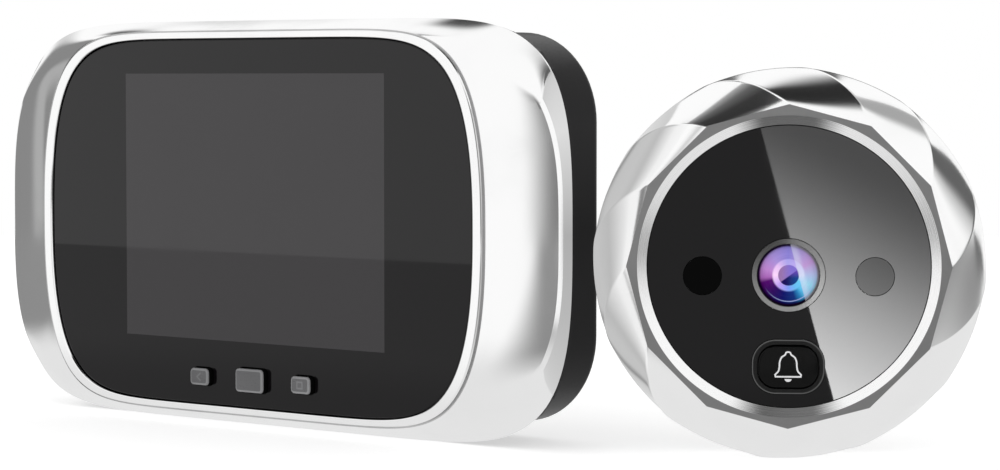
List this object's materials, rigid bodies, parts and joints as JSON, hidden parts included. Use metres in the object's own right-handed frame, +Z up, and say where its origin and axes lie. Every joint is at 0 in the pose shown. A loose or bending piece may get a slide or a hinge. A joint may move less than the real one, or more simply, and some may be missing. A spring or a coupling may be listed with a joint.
{
  "type": "peephole door camera",
  "caption": "Door viewer: a chrome-framed indoor monitor with a screen and keys on a wall bracket, and a round outdoor camera with a twisted chrome bezel and a bell button.",
  "frame": {"origin": "centre of the wall bracket's back face, on the inside face of the door", "axes": "+X to the right seen from the room, +Y into the door, +Z up"},
  "size_m": [0.1755, 0.0469, 0.0657],
  "materials": {
    "chrome": "bright chrome plate",
    "window_black": "black gloss",
    "housing_black": "fine satin black",
    "key_grey": "satin grey with lighter edges",
    "lens_trim": "satin grey",
    "lens_glass": "coated glass with a violet and blue sheen",
    "display": "dark display glass",
    "white_plastic": "moulded",
    "board": "green solder mask",
    "chip": "moulded",
    "steel": "zinc plated",
    "brass": "turned",
    "foam": "soft",
    "cell": "printed sleeve, plain"
  },
  "bodies": {
    "door_side": {"wall_bracket": "steel", "twist_bezel": "chrome", "face_panel": "window_black", "sensor_windows": "window_black", "lens_ring": "lens_trim", "front_lens": "lens_glass", "lens_barrel": "housing_black", "inner_lens": "lens_glass", "lens_holder": "housing_black", "image_sensor": "chip", "camera_board": "board", "ir_leds": "lens_glass", "button_surround": "housing_black", "bell_switch": "chip", "camera_case": "housing_black", "back_cover": "housing_black", "threaded_inserts": "brass", "back_gasket": "foam", "case_screws": "steel", "cable_grommet": "foam"},
    "monitor": {"front_bezel": "chrome", "front_window": "window_black", "window_tape": "foam", "lcd_panel": "display", "lcd_backlight": "white_plastic", "front_case": "housing_black", "key_switches": "chip", "main_board": "board", "board_chips": "chip", "camera_socket": "white_plastic", "speaker": "chip", "rear_housing": "housing_black", "battery_cells": "cell", "battery_contacts": "brass", "housing_screws": "steel"},
    "key_back": {"key_back": "key_grey"},
    "key_power": {"key_power": "key_grey"},
    "key_menu": {"key_menu": "key_grey"},
    "bell_button": {"bell_button": "housing_black"},
    "battery_door": {"battery_door": "housing_black"}
  },
  "joints": [
    {"name": "monitor_lift", "type": "slide", "parent": "door_side", "child": "monitor", "axis": [0, 0, 1], "range_m": [0, 0.012]},
    {"name": "key_back_press", "type": "slide", "parent": "monitor", "child": "key_back", "axis": [0, 1, 0], "range_m": [0, 0.0006], "stiffness_N_per_m": 1200},
    {"name": "key_power_press", "type": "slide", "parent": "monitor", "child": "key_power", "axis": [0, 1, 0], "range_m": [0, 0.0006], "stiffness_N_per_m": 1200},
    {"name": "key_menu_press", "type": "slide", "parent": "monitor", "child": "key_menu", "axis": [0, 1, 0], "range_m": [0, 0.0006], "stiffness_N_per_m": 1200},
    {"name": "bell_press", "type": "slide", "parent": "door_side", "child": "bell_button", "axis": [-0.5678, 0.8231, 0], "range_m": [0, 0.0008], "stiffness_N_per_m": 1200},
    {"name": "battery_door_slide", "type": "slide", "parent": "monitor", "child": "battery_door", "axis": [0, 0, 1], "range_m": [0, 0.05]}
  ]
}
